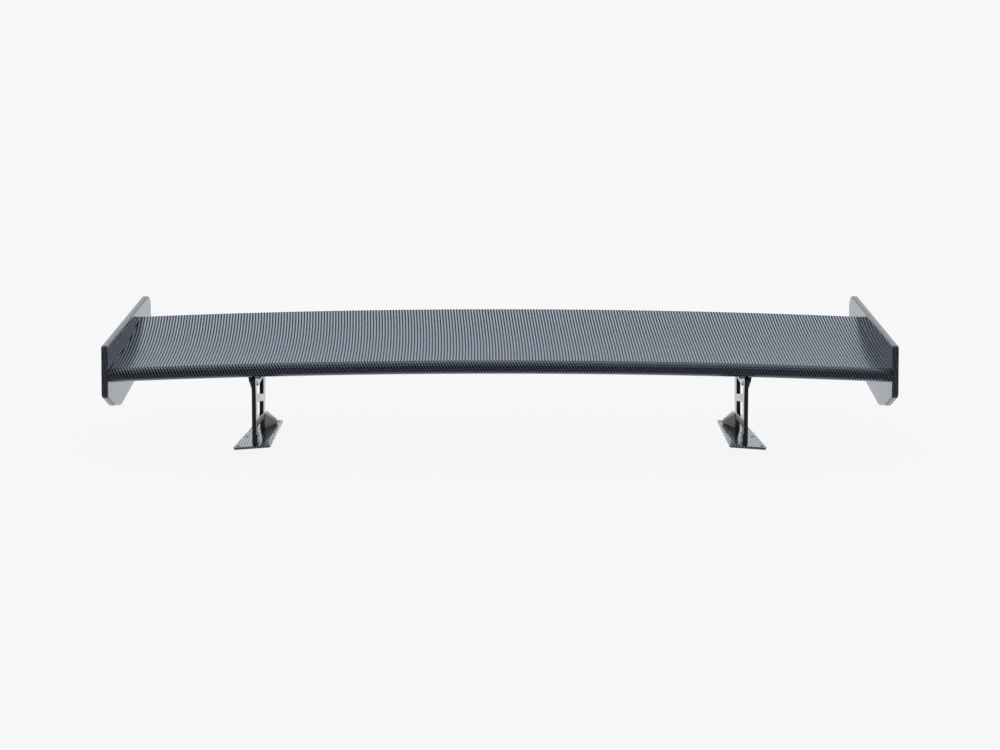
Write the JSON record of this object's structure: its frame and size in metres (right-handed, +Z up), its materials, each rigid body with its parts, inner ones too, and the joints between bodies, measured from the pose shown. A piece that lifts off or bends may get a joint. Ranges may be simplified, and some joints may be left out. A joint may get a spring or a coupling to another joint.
{
  "type": "racing rear wing",
  "caption": "Car rear wing: an arched hollow blade with end plates, tilting on two windowed uprights that stand on bolt-down base plates.",
  "frame": {"origin": "bottom centre of the bounding box: mid span, half way between the end plates' front and rear points, at the level of the base plates' outer edges", "axes": "+X is the span towards the car's left side, +Y is rearwards from nose to tail of the blade, +Z is up"},
  "size_m": [1.404, 0.3603, 0.2158],
  "materials": {
    "blade_carbon": "2x2 twill carbon laminate under a glossy clear coat, ribs running fore and aft",
    "endplate_carbon": "twill carbon laminate under a glossy clear coat, rounded edges",
    "base_carbon": "twill carbon laminate under a glossy clear coat",
    "black_metal": "aluminium plate with a smooth glossy black coating",
    "zinc_steel": "bright zinc plated fasteners",
    "black_screws": "black oxide screws",
    "bare_aluminium": "machined, unseen inside the blade",
    "bush_brass": "turned",
    "inner_laminate": "uncoated laminate inside the blade"
  },
  "bodies": {
    "stands": {"base_plate_left": "base_carbon", "base_plate_right": "base_carbon", "foot_screw_front_left": "zinc_steel", "foot_screw_front_right": "zinc_steel", "foot_screw_gusset_left": "zinc_steel", "foot_screw_gusset_right": "zinc_steel", "foot_screw_rear_left": "zinc_steel", "foot_screw_rear_right": "zinc_steel", "gusset_screw_left": "zinc_steel", "gusset_screw_right": "zinc_steel", "pivot_bolt_left": "zinc_steel", "pivot_bolt_right": "zinc_steel", "pivot_bush_left": "bush_brass", "pivot_bush_right": "bush_brass", "pivot_nut_left": "zinc_steel", "pivot_nut_right": "zinc_steel", "pivot_washer_inner_left": "zinc_steel", "pivot_washer_inner_right": "zinc_steel", "pivot_washer_outer_left": "zinc_steel", "pivot_washer_outer_right": "zinc_steel", "rear_gusset_left": "black_metal", "rear_gusset_right": "black_metal", "upright_left": "black_metal", "upright_right": "black_metal"},
    "blade": {"adjuster_bolt_left": "zinc_steel", "adjuster_bolt_right": "zinc_steel", "adjuster_nut_left": "zinc_steel", "adjuster_nut_right": "zinc_steel", "adjuster_washer_inner_left": "zinc_steel", "adjuster_washer_inner_right": "zinc_steel", "adjuster_washer_outer_left": "zinc_steel", "adjuster_washer_outer_right": "zinc_steel", "blade_lower_skin": "blade_carbon", "blade_upper_skin": "blade_carbon", "bracket_screw_front_left": "zinc_steel", "bracket_screw_front_right": "zinc_steel", "bracket_screw_rear_left": "zinc_steel", "bracket_screw_rear_right": "zinc_steel", "end_rib_left": "bare_aluminium", "end_rib_right": "bare_aluminium", "endplate_left": "endplate_carbon", "endplate_right": "endplate_carbon", "endplate_screw_front_left": "black_screws", "endplate_screw_front_right": "black_screws", "endplate_screw_middle_left": "black_screws", "endplate_screw_middle_right": "black_screws", "endplate_screw_rear_left": "black_screws", "endplate_screw_rear_right": "black_screws", "front_spar": "inner_laminate", "hard_point_left": "bare_aluminium", "hard_point_right": "bare_aluminium", "mount_rib_inner_left": "inner_laminate", "mount_rib_inner_right": "inner_laminate", "mount_rib_outer_left": "inner_laminate", "mount_rib_outer_right": "inner_laminate", "rear_spar": "inner_laminate", "trailing_edge_strip": "inner_laminate", "wing_bracket_left": "black_metal", "wing_bracket_right": "black_metal"}
  },
  "joints": [
    {"name": "blade_tilt", "type": "hinge", "parent": "stands", "child": "blade", "pos_m": [0, -0.083, 0.1195], "axis": [1, 0, 0], "range_deg": [-8, 8]}
  ]
}
